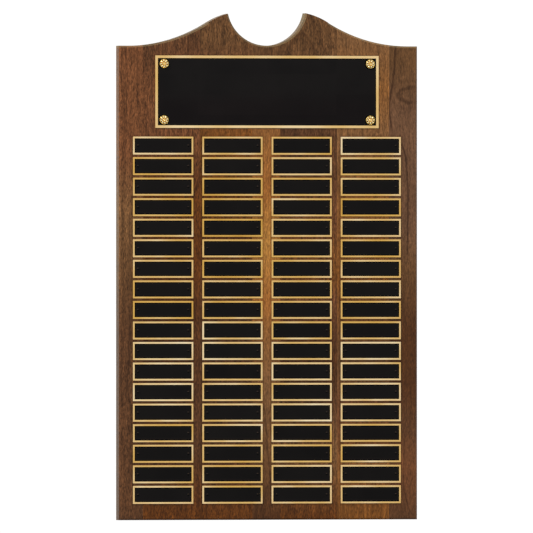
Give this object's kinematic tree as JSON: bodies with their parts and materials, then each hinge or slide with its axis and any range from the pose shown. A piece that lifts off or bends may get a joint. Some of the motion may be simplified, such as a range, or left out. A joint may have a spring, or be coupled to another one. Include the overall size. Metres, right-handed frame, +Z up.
{
  "type": "wooden wall plaque",
  "caption": "Tall walnut wall plaque with swan-neck shoulders and a round scoop on top, a wide blank header plate, and columns of small blank gold-edged black name plates.",
  "frame": {"origin": "centre of the back face of the board's straight-sided part, on the centre line, half-way between the bottom edge and the shoulders", "axes": "+Z up along the grain, +X to the right of a person facing the plaque, +Y into the wall, so the front faces -Y"},
  "size_m": [0.3774, 0.0227, 0.6274],
  "materials": {
    "walnut_dark": "satin lacquered dark walnut",
    "walnut_medium": "satin lacquered walnut",
    "walnut_light": "satin lacquered light walnut",
    "brass": "satin polished sheet brass",
    "enamel": "black semi-gloss enamel",
    "rosette_gold": "bright gold-plated casting",
    "pin_black": "black japanned steel"
  },
  "bodies": {
    "root": {"walnut_stave_1": "walnut_medium", "walnut_stave_2": "walnut_dark", "walnut_stave_3": "walnut_medium", "walnut_stave_4": "walnut_light", "walnut_stave_5": "walnut_dark", "walnut_stave_6": "walnut_light", "walnut_stave_7": "walnut_dark", "header_plate": "brass", "header_enamel": "enamel", "rosette_top_left": "rosette_gold", "rosette_top_right": "rosette_gold", "rosette_bottom_left": "rosette_gold", "rosette_bottom_right": "rosette_gold", "nameplates_row_01": "brass", "nameplates_row_02": "brass", "nameplates_row_03": "brass", "nameplates_row_04": "brass", "nameplates_row_05": "brass", "nameplates_row_06": "brass", "nameplates_row_07": "brass", "nameplates_row_08": "brass", "nameplates_row_09": "brass", "nameplates_row_10": "brass", "nameplates_row_11": "brass", "nameplates_row_12": "brass", "nameplates_row_13": "brass", "nameplates_row_14": "brass", "nameplates_row_15": "brass", "nameplates_row_16": "brass", "nameplates_row_17": "brass", "nameplates_row_18": "brass", "enamel_row_01": "enamel", "enamel_row_02": "enamel", "enamel_row_03": "enamel", "enamel_row_04": "enamel", "enamel_row_05": "enamel", "enamel_row_06": "enamel", "enamel_row_07": "enamel", "enamel_row_08": "enamel", "enamel_row_09": "enamel", "enamel_row_10": "enamel", "enamel_row_11": "enamel", "enamel_row_12": "enamel", "enamel_row_13": "enamel", "enamel_row_14": "enamel", "enamel_row_15": "enamel", "enamel_row_16": "enamel", "enamel_row_17": "enamel", "enamel_row_18": "enamel", "pins_column_1": "pin_black", "pins_column_2": "pin_black", "pins_column_3": "pin_black", "pins_column_4": "pin_black"}
  },
  "joints": []
}
